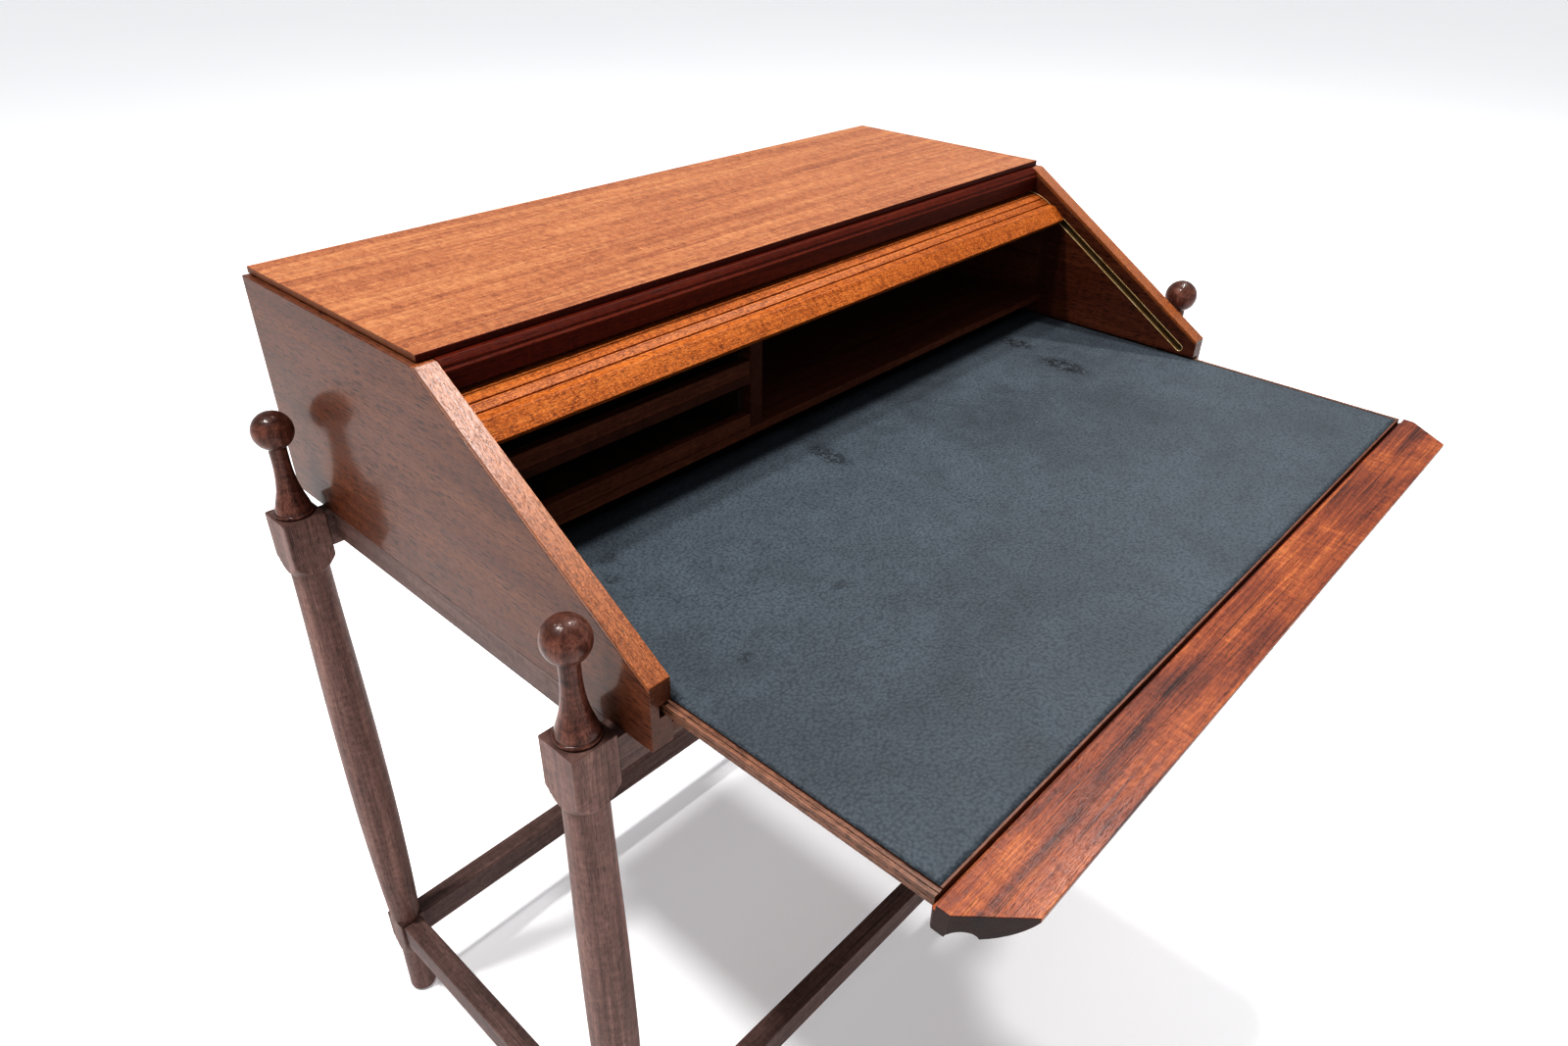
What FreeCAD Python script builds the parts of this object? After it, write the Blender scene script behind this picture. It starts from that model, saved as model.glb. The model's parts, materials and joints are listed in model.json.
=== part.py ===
import FreeCAD, Part
import math
import os

# Roll-top secretary desk on a turned frame, in mm.
# +X is the sitter's right, +Y points to the back, +Z is up.
# Sizes are laid out from the case: X = 0 on its centre plane, Y = 0 near the foot of the top bend.
# export() then moves everything so that the origin is under the middle of the whole desk at rest.

# Case
CASE_HALF = 430.0
PANEL = 19.0
INNER = CASE_HALF - PANEL
CASE_BACK = 300.0
CASE_FRONT = -226.0
CASE_BOTTOM = 710.0
CASE_TOP = 923.0
SLANT_TOP = 17.3
SLANT_FOOT = 768.0
LIPPING = 4.0
REVEAL = 0.7
BOARD_HALF = 424.4
BOARD_FRONT = 23.0
BOARD_TOP = 930.0
BACK_SKIN = 7.0
BACK_INSET = 1.0
FLOOR_BOARD = 10.0
FLOOR_INSET = 2.0
FLOOR_SETBACK = 4.0
TOP_RAIL_FRONT = 12.0
TOP_RAIL_BACK = 40.0
TOP_RAIL_LOW = 899.0
RAIL_STEP = 2.0
TOP_PANEL_LOW = 905.0

# Frame
LEG_X = 457.6
LEG_BACK = 248.0
LEG_FRONT = -177.8
BLOCK = 40.0
BLOCK_TOP = 714.8
BLOCK_LOW = 668.0
RING_Z = 653.0
LOW_BLOCK = 31.0
LOW_BLOCK_TOP = 138.0
LOW_BLOCK_LOW = 98.0
LOW_BLOCK_TAPER = 22.0
FOOT_R = 15.5
FOOT_ROUND = 6.0
FOOT_NECK_R = 14.8
SHAFT_FOOT_R = 16.8
SHAFT_NECK_R = 17.9
SHAFT_SWELL = ((19.9, 230.0), (21.5, 345.0), (20.6, 480.0), (18.4, 605.0))
BELL_MIDDLE = (24.4, 660.0)
BALL_R = 18.2
BALL_Z = 800.0
FINIAL_R = 18.0
FINIAL_FOOT_R = 16.8
FINIAL_SHOULDER_R = 17.0
FINIAL_BEAD = 4.0
FINIAL_HOLLOW = ((15.4, 724.0), (10.6, 741.0), (8.2, 760.0))
FINIAL_NECK_R = 7.9
RAIL_THICK = 22.0
RAIL_INSET = 1.3
RAIL_LOW = 677.0
SIDE_RAIL_LOW = 682.0
SIDE_RAIL_THICK = 20.0
STRETCHER_WIDE = 24.0
STRETCHER_LOW = 98.0
STRETCHER_TOP = 132.0

# Roll-top track, measured square to the slanted edge
TRACK_OUT = 16.9
TRACK_IN = 24.3
BEND_R = 60.0
BEND_Y = 23.0
REAR_BEND_Y = 228.0
TRACK_FOOT = 279.0
GROOVE_DEEP = 8.0
BRASS = 0.8
BRASS_PROUD = 0.3
BRASS_END_Y = 60.0
SLAT_PITCH = 10.0
SLAT_WIDE = 9.4
SLAT_THICK = 5.0
SLAT_SLACK = 0.4
SLAT_HALF = INNER + 6.0
SLAT_COUNT = 26
SLATS_ON_BAR = 1
CANVAS = 0.6
CANVAS_HALF = 395.0
CANVAS_GLUE = 0.1
CANVAS_FACET = 6.0
CANVAS_START = 0.6
CANVAS_SPLIT = 0.4
CANVAS_TAIL = 40.0
BAR_HEAD = 42.0
BAR_TIP = 70.6
BAR_HALF = INNER - 0.8
BAR_GAP = 0.4
BAR_LAND = 2.4
BAR_CREST = 1.5
BAR_SWELL = (9.3, 4.5)
BAR_NOSE = 0.9
BAR_UNDERCUT = 1.5
BAR_TONGUE = 12.0

# Writing board
LEATHER_TOP = 747.6
LEATHER = 1.2
LEATHER_HALF = 410.0
WRITING_HALF = 417.4
WRITING_LOW = 737.7
WRITING_BACK = 2.0
SLOT_LOW = 737.1
SLOT_TOP = 748.0
SLOT_HALF = 422.0
PULL_BACK = -453.0
PULL_FRONT = -504.0
PULL_HALF = 421.5
PULL_CUT = 33.5
PULL_SHOULDER = -466.0
PULL_CORNER = 2.0
PULL_TOP = 745.4
PULL_LOW = 724.5
PULL_LIP = 3.9
PULL_BELLY = (-491.0, 729.0)
REBATE_FRONT = -456.3
REBATE_LOW = 740.7
COVE_BACK = -463.8
COVE_CROWN = (-471.5, 731.3)
COVE_FRONT = (-479.5, 725.2)
BEAD = 2.0
EDGE_STEP = 0.9
EDGE_BEAD = 0.5
EDGE_GROOVE = (3.4, 4.1)
EDGE_GROOVE_DEEP = 1.0
EDGE_SCORE = (4.2, 4.8)
EDGE_SCORE_DEEP = 0.6

# Pigeon-hole unit
UNIT_FRONT = -16.0
UNIT_BACK = 235.0
UNIT_SKIN = 6.0
SHELF_LOW = 765.5
SHELF_TOP = 774.0
UNIT_LID_LOW = 862.5
UNIT_LID_TOP = 868.5
END_PANEL = 19.5
DIVIDER_X = -118.5
DIVIDER = 16.0
MID_SHELF_LOW = 820.5
MID_SHELF_TOP = 829.0
DRAWER_GAP = 0.5
DRAWER_LIFT = 0.4
DRAWER_FRONT = 10.0
DRAWER_SIDE = 6.0
DRAWER_FLOOR = 4.0
DRAWER_BACK_Y = 205.0
FRONT_HIGH = 14.8
LOWER_SIDE_HIGH = 38.0
UPPER_SIDE_HIGH = 20.0

# How far a cutting tool reaches past the face it cuts
OVERCUT = 1.0

SLOPE = math.atan2(CASE_TOP - SLANT_FOOT, SLANT_TOP - CASE_FRONT)
BEND_Z = CASE_TOP - (TRACK_OUT + BEND_R) / math.cos(SLOPE) + (SLANT_TOP - BEND_Y) * -math.tan(SLOPE)
ORIGIN_Y = (CASE_BACK + PULL_FRONT) / 2.0
X_AXIS = FreeCAD.Vector(1, 0, 0)

os.makedirs("parts", exist_ok=True)


def export(name, shapes):
    solids = [shape.copy() for shape in shapes]
    for shape in solids:
        shape.translate(FreeCAD.Vector(0, -ORIGIN_Y, 0))
    whole = solids[0] if len(solids) == 1 else Part.makeCompound(solids)
    whole.exportStep("parts/" + name + ".step")


def box(x0, x1, y0, y1, z0, z1):
    return Part.makeBox(x1 - x0, y1 - y0, z1 - z0, FreeCAD.Vector(x0, y0, z0))


def prism_x(points, x0, x1):
    corners = [FreeCAD.Vector(x0, y, z) for y, z in points]
    face = Part.Face(Part.makePolygon(corners + corners[:1]))
    return face.extrude(FreeCAD.Vector(x1 - x0, 0, 0))


def prism_y(points, y0, y1):
    corners = [FreeCAD.Vector(x, y0, z) for x, z in points]
    face = Part.Face(Part.makePolygon(corners + corners[:1]))
    return face.extrude(FreeCAD.Vector(0, y1 - y0, 0))


def mirrored(shape):
    return shape.mirror(FreeCAD.Vector(0, 0, 0), X_AXIS)


def slant_point(along, below):
    """Point a distance along the slanted edge from its top, and square below it."""
    y = SLANT_TOP - along * math.cos(SLOPE) + below * math.sin(SLOPE)
    z = CASE_TOP - along * math.sin(SLOPE) - below * math.cos(SLOPE)
    return y, z


# ---------- roll-top track ----------

def bend_radius(below):
    return BEND_R + TRACK_OUT - below


def bend_point(y, below, turn):
    """Point on a track bend about (y, BEND_Z), turned from straight up towards +Y."""
    r = bend_radius(below)
    return y + r * math.sin(turn), BEND_Z + r * math.cos(turn)


def vec(x, point):
    return FreeCAD.Vector(x, point[0], point[1])


def track_side(below, x, foot, stop_y):
    """Edges of one track wall from its foot up the slant, round the bend and back."""
    foot_at = vec(x, slant_point(foot, below))
    tangent = vec(x, bend_point(BEND_Y, below, -SLOPE))
    middle = vec(x, bend_point(BEND_Y, below, -SLOPE / 2))
    crown = vec(x, bend_point(BEND_Y, below, 0))
    edges = [Part.makeLine(foot_at, tangent), Part.Arc(tangent, middle, crown).toShape()]
    if stop_y is not None:
        end = FreeCAD.Vector(x, stop_y, crown.z)
        edges.append(Part.makeLine(crown, end))
        return edges, foot_at, end
    r = bend_radius(below)
    low_z = (SLOT_LOW + SLOT_TOP) / 2 + bend_radius((TRACK_OUT + TRACK_IN) / 2)
    rear = vec(x, bend_point(REAR_BEND_Y, below, 0))
    rear_mid = vec(x, bend_point(REAR_BEND_Y, below, math.pi / 4))
    down = vec(x, bend_point(REAR_BEND_Y, below, math.pi / 2))
    low = FreeCAD.Vector(x, down.y, low_z)
    under_mid = FreeCAD.Vector(x, REAR_BEND_Y + r * math.sqrt(0.5), low_z - r * math.sqrt(0.5))
    end = FreeCAD.Vector(x, REAR_BEND_Y, low_z - r)
    edges += [Part.makeLine(crown, rear), Part.Arc(rear, rear_mid, down).toShape()]
    edges += [Part.makeLine(down, low), Part.Arc(low, under_mid, end).toShape()]
    return edges, foot_at, end


def track_band(out, inn, x0, x1, foot, stop_y=None, round_foot=True):
    """Solid between two track walls; foot is how far down the slant it reaches."""
    outer, outer_foot, outer_end = track_side(out, x0, foot, stop_y)
    inner, inner_foot, inner_end = track_side(inn, x0, foot, stop_y)
    if round_foot:
        tip = vec(x0, slant_point(foot + (inn - out) / 2, (out + inn) / 2))
        cap = Part.Arc(outer_foot, tip, inner_foot).toShape()
    else:
        cap = Part.makeLine(outer_foot, inner_foot)
    edges = outer + inner + [cap, Part.makeLine(outer_end, inner_end)]
    face = Part.Face(Part.Wire(Part.__sortEdges__(edges)))
    return face.extrude(FreeCAD.Vector(x1 - x0, 0, 0))


def path_at(u, below):
    """Place on the track a length u back from the top of the closing bar: y, z and tilt."""
    r = bend_radius(below)
    bend = r * SLOPE
    flat = REAR_BEND_Y - BEND_Y
    if u < bend:
        turn = -SLOPE + u / r
        y, z = bend_point(BEND_Y, below, turn)
        return y, z, turn
    if u < bend + flat:
        y, z = bend_point(BEND_Y, below, 0)
        return y + u - bend, z, 0.0
    turn = (u - bend - flat) / r
    y, z = bend_point(REAR_BEND_Y, below, turn)
    return y, z, turn


# ---------- frame ----------

def fuse(shapes):
    whole = shapes[0]
    for shape in shapes[1:]:
        whole = whole.fuse(shape)
    return whole.removeSplitter()


def spin(edges, low, high):
    """Solid of revolution about Z from outline edges given from the low end to the high end."""
    first = edges[0].valueAt(edges[0].FirstParameter)
    last = edges[-1].valueAt(edges[-1].LastParameter)
    axis_low = FreeCAD.Vector(0, 0, low)
    axis_high = FreeCAD.Vector(0, 0, high)
    ends = [Part.makeLine(axis_low, first), Part.makeLine(axis_high, axis_low)]
    if last.x > 1e-6:
        ends.append(Part.makeLine(last, axis_high))
    wire = Part.Wire(Part.__sortEdges__(edges + ends))
    return Part.Face(wire).revolve(FreeCAD.Vector(0, 0, 0), FreeCAD.Vector(0, 0, 1), 360)


def ring(r, z):
    return FreeCAD.Vector(r, 0, z)


def smooth(points):
    curve = Part.BSplineCurve()
    curve.interpolate([ring(r, z) for r, z in points])
    return curve.toShape()


def block(wide, bell, low, high):
    """Square block whose lower end is turned down to the round by the outline bell."""
    half = wide / 2
    square = Part.makeBox(wide, wide, high - low, FreeCAD.Vector(-half, -half, low))
    return square.common(spin(bell, low, high))


def corner_radius(wide):
    return wide / 2 * math.sqrt(2) + 0.5


def upper_block():
    corner = corner_radius(BLOCK)
    edge = ring(corner, BLOCK_LOW)
    turned = Part.Arc(ring(SHAFT_NECK_R, RING_Z), ring(*BELL_MIDDLE), edge).toShape()
    return block(BLOCK, [turned, Part.makeLine(edge, ring(corner, BLOCK_TOP))], RING_Z, BLOCK_TOP)


def lower_block():
    corner = corner_radius(LOW_BLOCK)
    low = LOW_BLOCK_LOW - LOW_BLOCK_TAPER
    edge = ring(corner, LOW_BLOCK_LOW)
    lines = [Part.makeLine(ring(FOOT_NECK_R, low), edge), Part.makeLine(edge, ring(corner, LOW_BLOCK_TOP))]
    return block(LOW_BLOCK, lines, low, LOW_BLOCK_TOP)


def foot():
    top = LOW_BLOCK_LOW - LOW_BLOCK_TAPER
    sole = FOOT_R - FOOT_ROUND
    round_mid = ring(sole + FOOT_ROUND * math.sqrt(0.5), FOOT_ROUND * (1 - math.sqrt(0.5)))
    edges = [Part.Arc(ring(sole, 0.0), round_mid, ring(FOOT_R, FOOT_ROUND)).toShape(),
             Part.makeLine(ring(FOOT_R, FOOT_ROUND), ring(FOOT_NECK_R, top))]
    return spin(edges, 0.0, top)


def shaft():
    points = [(SHAFT_FOOT_R, LOW_BLOCK_TOP), *SHAFT_SWELL, (SHAFT_NECK_R, RING_Z)]
    return spin([smooth(points)], LOW_BLOCK_TOP, RING_Z)


def finial():
    """Skittle-shaped finial: bead, flared foot, hollow neck and ball."""
    bead_top = BLOCK_TOP + FINIAL_BEAD
    bead = Part.Arc(ring(FINIAL_FOOT_R, BLOCK_TOP), ring(FINIAL_R, BLOCK_TOP + FINIAL_BEAD / 2),
                    ring(FINIAL_SHOULDER_R, bead_top)).toShape()
    join = BALL_Z - math.sqrt(BALL_R ** 2 - FINIAL_NECK_R ** 2)
    neck = smooth([(FINIAL_SHOULDER_R, bead_top), *FINIAL_HOLLOW, (FINIAL_NECK_R, join)])
    ball = Part.Arc(ring(FINIAL_NECK_R, join), ring(BALL_R, BALL_Z), ring(0.0, BALL_Z + BALL_R)).toShape()
    return spin([bead, neck, ball], BLOCK_TOP, BALL_Z + BALL_R)


def leg():
    return fuse([foot(), lower_block(), shaft(), upper_block(), finial()])


def make_legs():
    post = leg()
    for side, x in (("left", -LEG_X), ("right", LEG_X)):
        for end, y in (("front", LEG_FRONT), ("back", LEG_BACK)):
            placed = post.copy()
            placed.translate(FreeCAD.Vector(x, y, 0))
            export("leg_" + end + "_" + side, [placed])


def make_rails():
    reach = LEG_X - BLOCK / 2
    front_face = LEG_FRONT - BLOCK / 2 + RAIL_INSET
    back_face = LEG_BACK - BLOCK / 2 + RAIL_INSET
    for end, y in (("front", front_face), ("back", back_face)):
        export("rail_" + end, [box(-reach, reach, y, y + RAIL_THICK, RAIL_LOW, CASE_BOTTOM)])
    left = box(-CASE_HALF, SIDE_RAIL_THICK - CASE_HALF, front_face + RAIL_THICK, back_face,
               SIDE_RAIL_LOW, CASE_BOTTOM)
    export("rail_left", [left])
    export("rail_right", [mirrored(left)])


def make_stretchers():
    half = STRETCHER_WIDE / 2
    block_half = LOW_BLOCK / 2
    reach = LEG_X - block_half
    for end, y in (("front", LEG_FRONT), ("back", LEG_BACK)):
        export("stretcher_" + end, [box(-reach, reach, y - half, y + half, STRETCHER_LOW, STRETCHER_TOP)])
    left = box(-LEG_X - half, -LEG_X + half, LEG_FRONT + block_half, LEG_BACK - block_half,
               STRETCHER_LOW, STRETCHER_TOP)
    export("stretcher_left", [left])
    export("stretcher_right", [mirrored(left)])


# ---------- case ----------

def track_groove():
    """Everything cut from the right-hand panel for the roll-top track and the writing board."""
    deep = INNER + GROOVE_DEEP
    start = INNER - OVERCUT
    groove = track_band(TRACK_OUT, TRACK_IN, start, deep, TRACK_FOOT)
    lined = track_band(TRACK_OUT - BRASS, TRACK_IN + BRASS, start, deep + BRASS, TRACK_FOOT, BRASS_END_Y)
    slot = box(start, SLOT_HALF, CASE_FRONT - OVERCUT, REAR_BEND_Y, SLOT_LOW, SLOT_TOP)
    return [groove, lined, slot]


def make_side_panels():
    rise = LIPPING / math.cos(SLOPE)
    outline = [(CASE_BACK, CASE_BOTTOM), (CASE_BACK, CASE_TOP),
               (SLANT_TOP + LIPPING / math.sin(SLOPE), CASE_TOP), (CASE_FRONT, SLANT_FOOT - rise),
               (CASE_FRONT, CASE_BOTTOM)]
    panel = prism_x(outline, INNER, CASE_HALF)
    for cutter in track_groove():
        panel = panel.cut(cutter)
    export("side_panel_right", [panel])
    export("side_panel_left", [mirrored(panel)])
    strip = [(SLANT_TOP, CASE_TOP), (SLANT_TOP + LIPPING / math.sin(SLOPE), CASE_TOP),
             (CASE_FRONT, SLANT_FOOT - rise), (CASE_FRONT, SLANT_FOOT)]
    lipping = prism_x(strip, INNER, CASE_HALF)
    export("lipping_right", [lipping])
    export("lipping_left", [mirrored(lipping)])


def make_brass_tracks():
    mouth = INNER - BRASS_PROUD
    deep = INNER + GROOVE_DEEP
    outside = track_band(TRACK_OUT - BRASS, TRACK_IN + BRASS, mouth, deep + BRASS, TRACK_FOOT, BRASS_END_Y)
    hollow = track_band(TRACK_OUT, TRACK_IN, mouth - OVERCUT, deep, TRACK_FOOT, BRASS_END_Y + OVERCUT)
    channel = outside.cut(hollow)
    export("brass_track_right", [channel])
    export("brass_track_left", [mirrored(channel)])


def make_carcass():
    skin_front = CASE_BACK - BACK_INSET - BACK_SKIN
    board_low = CASE_TOP + REVEAL
    export("top_board", [box(-BOARD_HALF, BOARD_HALF, BOARD_FRONT, CASE_BACK, board_low, BOARD_TOP)])
    export("top_panel", [box(-INNER, INNER, TOP_RAIL_BACK, skin_front, TOP_PANEL_LOW, board_low)])
    step = RAIL_STEP
    low = CASE_BOTTOM + FLOOR_INSET
    rail = [(TOP_RAIL_BACK, TOP_RAIL_LOW), (TOP_RAIL_FRONT, TOP_RAIL_LOW), (TOP_RAIL_FRONT, CASE_TOP - 4 * step),
            (TOP_RAIL_FRONT + step, CASE_TOP - 3 * step), (TOP_RAIL_FRONT + step, CASE_TOP - 2 * step),
            (TOP_RAIL_FRONT + 3 * step, board_low), (TOP_RAIL_BACK, board_low)]
    export("top_rail", [prism_x(rail, -INNER, INNER)])
    export("back_panel", [box(-INNER, INNER, skin_front, skin_front + BACK_SKIN, low, board_low)])
    export("floor_panel", [box(-INNER, INNER, CASE_FRONT + FLOOR_SETBACK, skin_front, low, low + FLOOR_BOARD)])


# ---------- roll-top ----------

def slat(index):
    y, z, turn = path_at(SLAT_PITCH * (index + 0.5), TRACK_OUT + SLAT_SLACK + SLAT_THICK / 2)
    piece = Part.makeBox(2 * SLAT_HALF, SLAT_WIDE, SLAT_THICK,
                         FreeCAD.Vector(-SLAT_HALF, -SLAT_WIDE / 2, -SLAT_THICK / 2))
    piece.rotate(FreeCAD.Vector(0, 0, 0), X_AXIS, -math.degrees(turn))
    piece.translate(FreeCAD.Vector(0, y, z))
    return piece


def closing_bar():
    """Wide moulded bar at the roll-top's lower edge, with a tongue at each end for the track."""
    top = TRACK_OUT + SLAT_SLACK
    low = TRACK_IN - SLAT_SLACK
    head = BAR_HEAD + BAR_GAP
    land = BAR_HEAD + BAR_LAND
    end = BAR_HEAD + BAR_TONGUE
    swell, proud = BAR_SWELL
    face = [(head, top), (land, top), (land, TRACK_OUT - BAR_CREST), (BAR_HEAD + swell, TRACK_OUT - proud),
            (BAR_TIP, TRACK_OUT - BAR_NOSE), (BAR_TIP - BAR_UNDERCUT, low), (head, low)]
    bar = prism_x([slant_point(s, below) for s, below in face], -BAR_HALF, BAR_HALF)
    tongue = [(head, top), (end, top), (end, low), (head, low)]
    ends = prism_x([slant_point(s, below) for s, below in tongue], -SLAT_HALF, SLAT_HALF)
    return fuse([bar, ends])


def canvas(u0, u1):
    """Canvas glued under the slats from u0 to u1 along the track."""
    steps = max(2, int((u1 - u0) / CANVAS_FACET))
    top = TRACK_OUT + SLAT_SLACK + SLAT_THICK + CANVAS_GLUE
    places = [u0 + (u1 - u0) * i / steps for i in range(steps + 1)]
    outer = [path_at(u, top) for u in places]
    inner = [(y - CANVAS * math.sin(turn), z - CANVAS * math.cos(turn)) for y, z, turn in outer]
    outline = [(y, z) for y, z, turn in outer] + inner[::-1]
    return prism_x(outline, -CANVAS_HALF, CANVAS_HALF)


def make_roll_top():
    export("roll_top_bar", [closing_bar()])
    for index in range(SLATS_ON_BAR):
        export("roll_top_slat_" + str(index + 1), [slat(index)])
    export("roll_top_slats_stored", [slat(index) for index in range(SLATS_ON_BAR, SLAT_COUNT)])
    split = SLAT_PITCH * SLATS_ON_BAR
    export("canvas_front", [canvas(CANVAS_START, split - CANVAS_SPLIT)])
    export("canvas_stored", [canvas(split + CANVAS_SPLIT, SLAT_PITCH * SLAT_COUNT + CANVAS_TAIL)])


# ---------- writing slide ----------

def make_writing_slide():
    wood_top = LEATHER_TOP - LEATHER
    export("writing_board", [box(-LEATHER_HALF, LEATHER_HALF, PULL_BACK, WRITING_BACK, WRITING_LOW, wood_top)])
    export("writing_leather", [box(-LEATHER_HALF, LEATHER_HALF, PULL_BACK + BEAD, WRITING_BACK, wood_top,
                                   LEATHER_TOP)])
    strip = prism_y(edge_outline(wood_top), PULL_BACK, WRITING_BACK)
    export("writing_edge_right", [strip])
    export("writing_edge_left", [mirrored(strip)])
    export("pull_rail", [pull_rail()])


def edge_outline(wood_top):
    """Section of the right-hand edge strip: low inner step, fine groove, outer bead and a scored side."""
    step = wood_top - EDGE_STEP
    bead = wood_top - EDGE_BEAD
    near, far = (LEATHER_HALF + across for across in EDGE_GROOVE)
    groove_low = step - EDGE_GROOVE_DEEP
    score_low, score_top = (WRITING_LOW + up for up in EDGE_SCORE)
    score_in = WRITING_HALF - EDGE_SCORE_DEEP
    return [(LEATHER_HALF, WRITING_LOW), (WRITING_HALF, WRITING_LOW), (WRITING_HALF, score_low),
            (score_in, score_low), (score_in, score_top), (WRITING_HALF, score_top), (WRITING_HALF, bead),
            (far, bead), (far, groove_low), (near, groove_low), (near, step), (LEATHER_HALF, step)]


def pull_rail():
    """Front rail: rebate at the back, ends cut back diagonally, thin lip, round belly and finger cove."""
    def at(y, z):
        return FreeCAD.Vector(-PULL_HALF, y, z)

    back_low = at(PULL_BACK, PULL_LOW)
    cove_back = at(COVE_BACK, PULL_LOW)
    front_low = at(PULL_FRONT, PULL_TOP - PULL_LIP)
    top = [front_low, at(PULL_FRONT, PULL_TOP), at(REBATE_FRONT, PULL_TOP), at(REBATE_FRONT, REBATE_LOW),
           at(PULL_BACK, REBATE_LOW), back_low, cove_back]
    edges = [Part.makeLine(start, end) for start, end in zip(top, top[1:])]
    edges.append(Part.Arc(cove_back, at(*COVE_CROWN), at(*COVE_FRONT)).toShape())
    edges.append(Part.Arc(at(*COVE_FRONT), at(*PULL_BELLY), front_low).toShape())
    outline = Part.Wire(Part.__sortEdges__(edges))
    section = Part.Face(outline).extrude(FreeCAD.Vector(2 * PULL_HALF, 0, 0))
    right = [(PULL_HALF - PULL_CORNER, PULL_BACK), (PULL_HALF, PULL_BACK - PULL_CORNER),
             (PULL_HALF, PULL_SHOULDER), (PULL_HALF - PULL_CUT, PULL_FRONT)]
    corners = right + [(-x, y) for x, y in reversed(right)]
    low = PULL_LOW - OVERCUT
    points = [FreeCAD.Vector(x, y, low) for x, y in corners]
    rise = FreeCAD.Vector(0, 0, PULL_TOP + OVERCUT - low)
    plan = Part.Face(Part.makePolygon(points + points[:1])).extrude(rise)
    return section.common(plan)


# ---------- pigeon-hole unit and drawers ----------

def make_unit():
    skin = UNIT_BACK - UNIT_SKIN
    end = INNER - END_PANEL
    export("unit_shelf", [box(-INNER, INNER, UNIT_FRONT, UNIT_BACK, SHELF_LOW, SHELF_TOP)])
    export("unit_lid", [box(-INNER, INNER, UNIT_FRONT, UNIT_BACK, UNIT_LID_LOW, UNIT_LID_TOP)])
    panel = box(end, INNER, UNIT_FRONT, skin, SHELF_TOP, UNIT_LID_LOW)
    export("unit_end_right", [panel])
    export("unit_end_left", [mirrored(panel)])
    export("unit_back", [box(-INNER, INNER, skin, UNIT_BACK, SHELF_TOP, UNIT_LID_LOW)])
    export("unit_divider", [box(DIVIDER_X, DIVIDER_X + DIVIDER, UNIT_FRONT, skin, SHELF_TOP, UNIT_LID_LOW)])
    export("unit_mid_shelf", [box(-end, DIVIDER_X, UNIT_FRONT, skin, MID_SHELF_LOW, MID_SHELF_TOP)])


def make_drawer(name, floor_z, side_high):
    """Low-fronted drawer, open above its front for the fingers."""
    left = END_PANEL - INNER + DRAWER_GAP
    right = DIVIDER_X - DRAWER_GAP
    low = floor_z + DRAWER_LIFT
    inside = UNIT_FRONT + DRAWER_FRONT
    front = box(left, right, UNIT_FRONT, inside, low, low + FRONT_HIGH)
    near = box(left, left + DRAWER_SIDE, inside, DRAWER_BACK_Y, low, low + side_high)
    far = box(right - DRAWER_SIDE, right, inside, DRAWER_BACK_Y, low, low + side_high)
    rear = box(left + DRAWER_SIDE, right - DRAWER_SIDE, DRAWER_BACK_Y - DRAWER_SIDE, DRAWER_BACK_Y,
               low, low + side_high)
    base = box(left + DRAWER_SIDE, right - DRAWER_SIDE, inside, DRAWER_BACK_Y - DRAWER_SIDE,
               low, low + DRAWER_FLOOR)
    for part, solid in (("front", front), ("side_left", near), ("side_right", far), ("back", rear),
                        ("floor", base)):
        export(name + "_" + part, [solid])


make_legs()
make_rails()
make_stretchers()
make_side_panels()
make_brass_tracks()
make_carcass()
make_roll_top()
make_writing_slide()
make_unit()
make_drawer("drawer_lower", SHELF_TOP, LOWER_SIDE_HIGH)
make_drawer("drawer_upper", MID_SHELF_TOP, UPPER_SIDE_HIGH)
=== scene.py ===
"""Looks of the roll-top secretary desk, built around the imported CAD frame. Sizes are in metres."""

import json
import math

import bmesh
import bpy
from mathutils import Matrix, Vector, noise


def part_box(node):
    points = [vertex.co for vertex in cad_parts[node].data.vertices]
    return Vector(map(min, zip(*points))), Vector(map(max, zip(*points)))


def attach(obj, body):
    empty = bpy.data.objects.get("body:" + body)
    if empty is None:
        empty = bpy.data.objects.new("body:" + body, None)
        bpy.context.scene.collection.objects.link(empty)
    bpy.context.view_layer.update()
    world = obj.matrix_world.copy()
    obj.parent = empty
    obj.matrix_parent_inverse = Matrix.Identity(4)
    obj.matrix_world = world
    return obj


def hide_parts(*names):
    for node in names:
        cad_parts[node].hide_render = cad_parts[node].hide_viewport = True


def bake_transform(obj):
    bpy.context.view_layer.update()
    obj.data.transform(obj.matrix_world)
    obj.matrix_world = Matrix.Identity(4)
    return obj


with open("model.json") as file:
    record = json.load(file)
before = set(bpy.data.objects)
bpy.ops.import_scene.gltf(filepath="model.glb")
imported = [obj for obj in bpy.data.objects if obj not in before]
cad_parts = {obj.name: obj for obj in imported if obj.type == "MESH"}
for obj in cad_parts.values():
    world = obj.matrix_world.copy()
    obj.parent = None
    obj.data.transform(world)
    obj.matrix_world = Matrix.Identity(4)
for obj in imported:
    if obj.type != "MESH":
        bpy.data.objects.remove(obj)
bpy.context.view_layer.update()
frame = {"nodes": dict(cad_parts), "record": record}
NODES = frame["nodes"]
BODY_OF = {node: body for body, nodes in frame["record"]["behaviour"]["bodies"].items() for node in nodes}
MM = 0.001

# Camera: the photograph's viewing angle, found by fitting the desk's corners
CAMERA_AT = Vector((-0.7598, -0.5434, 1.2334))
CAMERA_YAW = 0.8321
CAMERA_PITCH = 0.5634
CAMERA_ROLL = 0.0177
CAMERA_LENS = 23.95

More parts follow.
